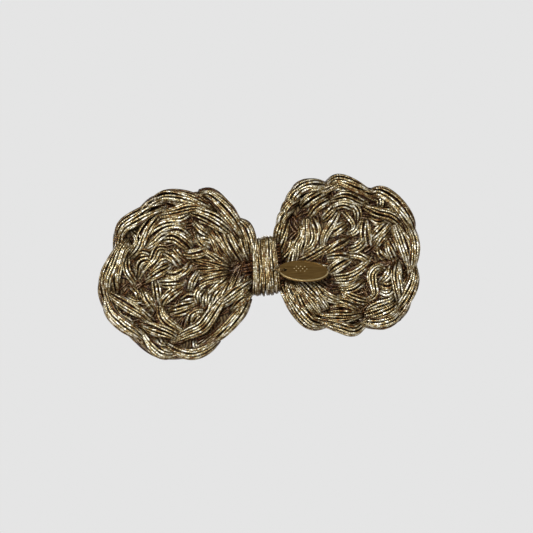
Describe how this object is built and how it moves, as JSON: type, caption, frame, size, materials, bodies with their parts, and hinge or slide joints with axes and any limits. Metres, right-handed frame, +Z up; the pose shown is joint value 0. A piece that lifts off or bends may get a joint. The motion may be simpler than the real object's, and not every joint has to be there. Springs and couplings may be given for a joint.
{
  "type": "alligator hair clip",
  "caption": "Crocheted metallic bow with a wrapped waist and a small oval tag, bound to a sprung toothed alligator hair clip.",
  "frame": {"origin": "on the grip plane of the closed jaws, behind the middle of the bow's waist", "axes": "+X along the bow to its right as seen from the front, +Y from the bow's face towards the head, +Z up"},
  "size_m": [0.0803, 0.0222, 0.0425],
  "materials": {
    "clip_metal": "nickel plated, stamped",
    "spring_wire": "drawn wire",
    "thread": "metallic gold and bronze cord",
    "tag_metal": "antique brass",
    "glue": "cloudy hot glue"
  },
  "bodies": {
    "root": {"upper_jaw": "clip_metal", "hinge_pin": "clip_metal", "torsion_spring": "spring_wire", "glue_pad_left": "glue", "glue_pad_right": "glue", "left_edging": "thread", "left_outer_fan": "thread", "left_inner_fan": "thread", "right_edging": "thread", "right_outer_fan": "thread", "right_inner_fan": "thread", "waist": "thread", "centre_wrap": "thread"},
    "lower_jaw": {"lower_jaw": "clip_metal"},
    "tag_loop": {"tag_loop": "thread"},
    "tag": {"tag": "tag_metal"}
  },
  "joints": [
    {"name": "jaw_hinge", "type": "hinge", "parent": "root", "child": "lower_jaw", "pos_m": [0.01, 0.0026, 0], "axis": [0, 0, -1], "range_deg": [0, 25], "stiffness_Nm_per_rad": 0.2, "springref_deg": -22.92, "deforming": ["torsion_spring"]},
    {"name": "tag_flap", "type": "hinge", "parent": "root", "child": "tag_loop", "pos_m": [0.00277, -0.00871, -0.00112], "axis": [-0.1736, 0, -0.9848], "range_deg": [0, 60]},
    {"name": "tag_swing", "type": "hinge", "parent": "tag_loop", "child": "tag", "pos_m": [0.00417, -0.0096, -0.00137], "axis": [0.1021, -0.809, 0.5789], "range_deg": [-15, 15]}
  ]
}
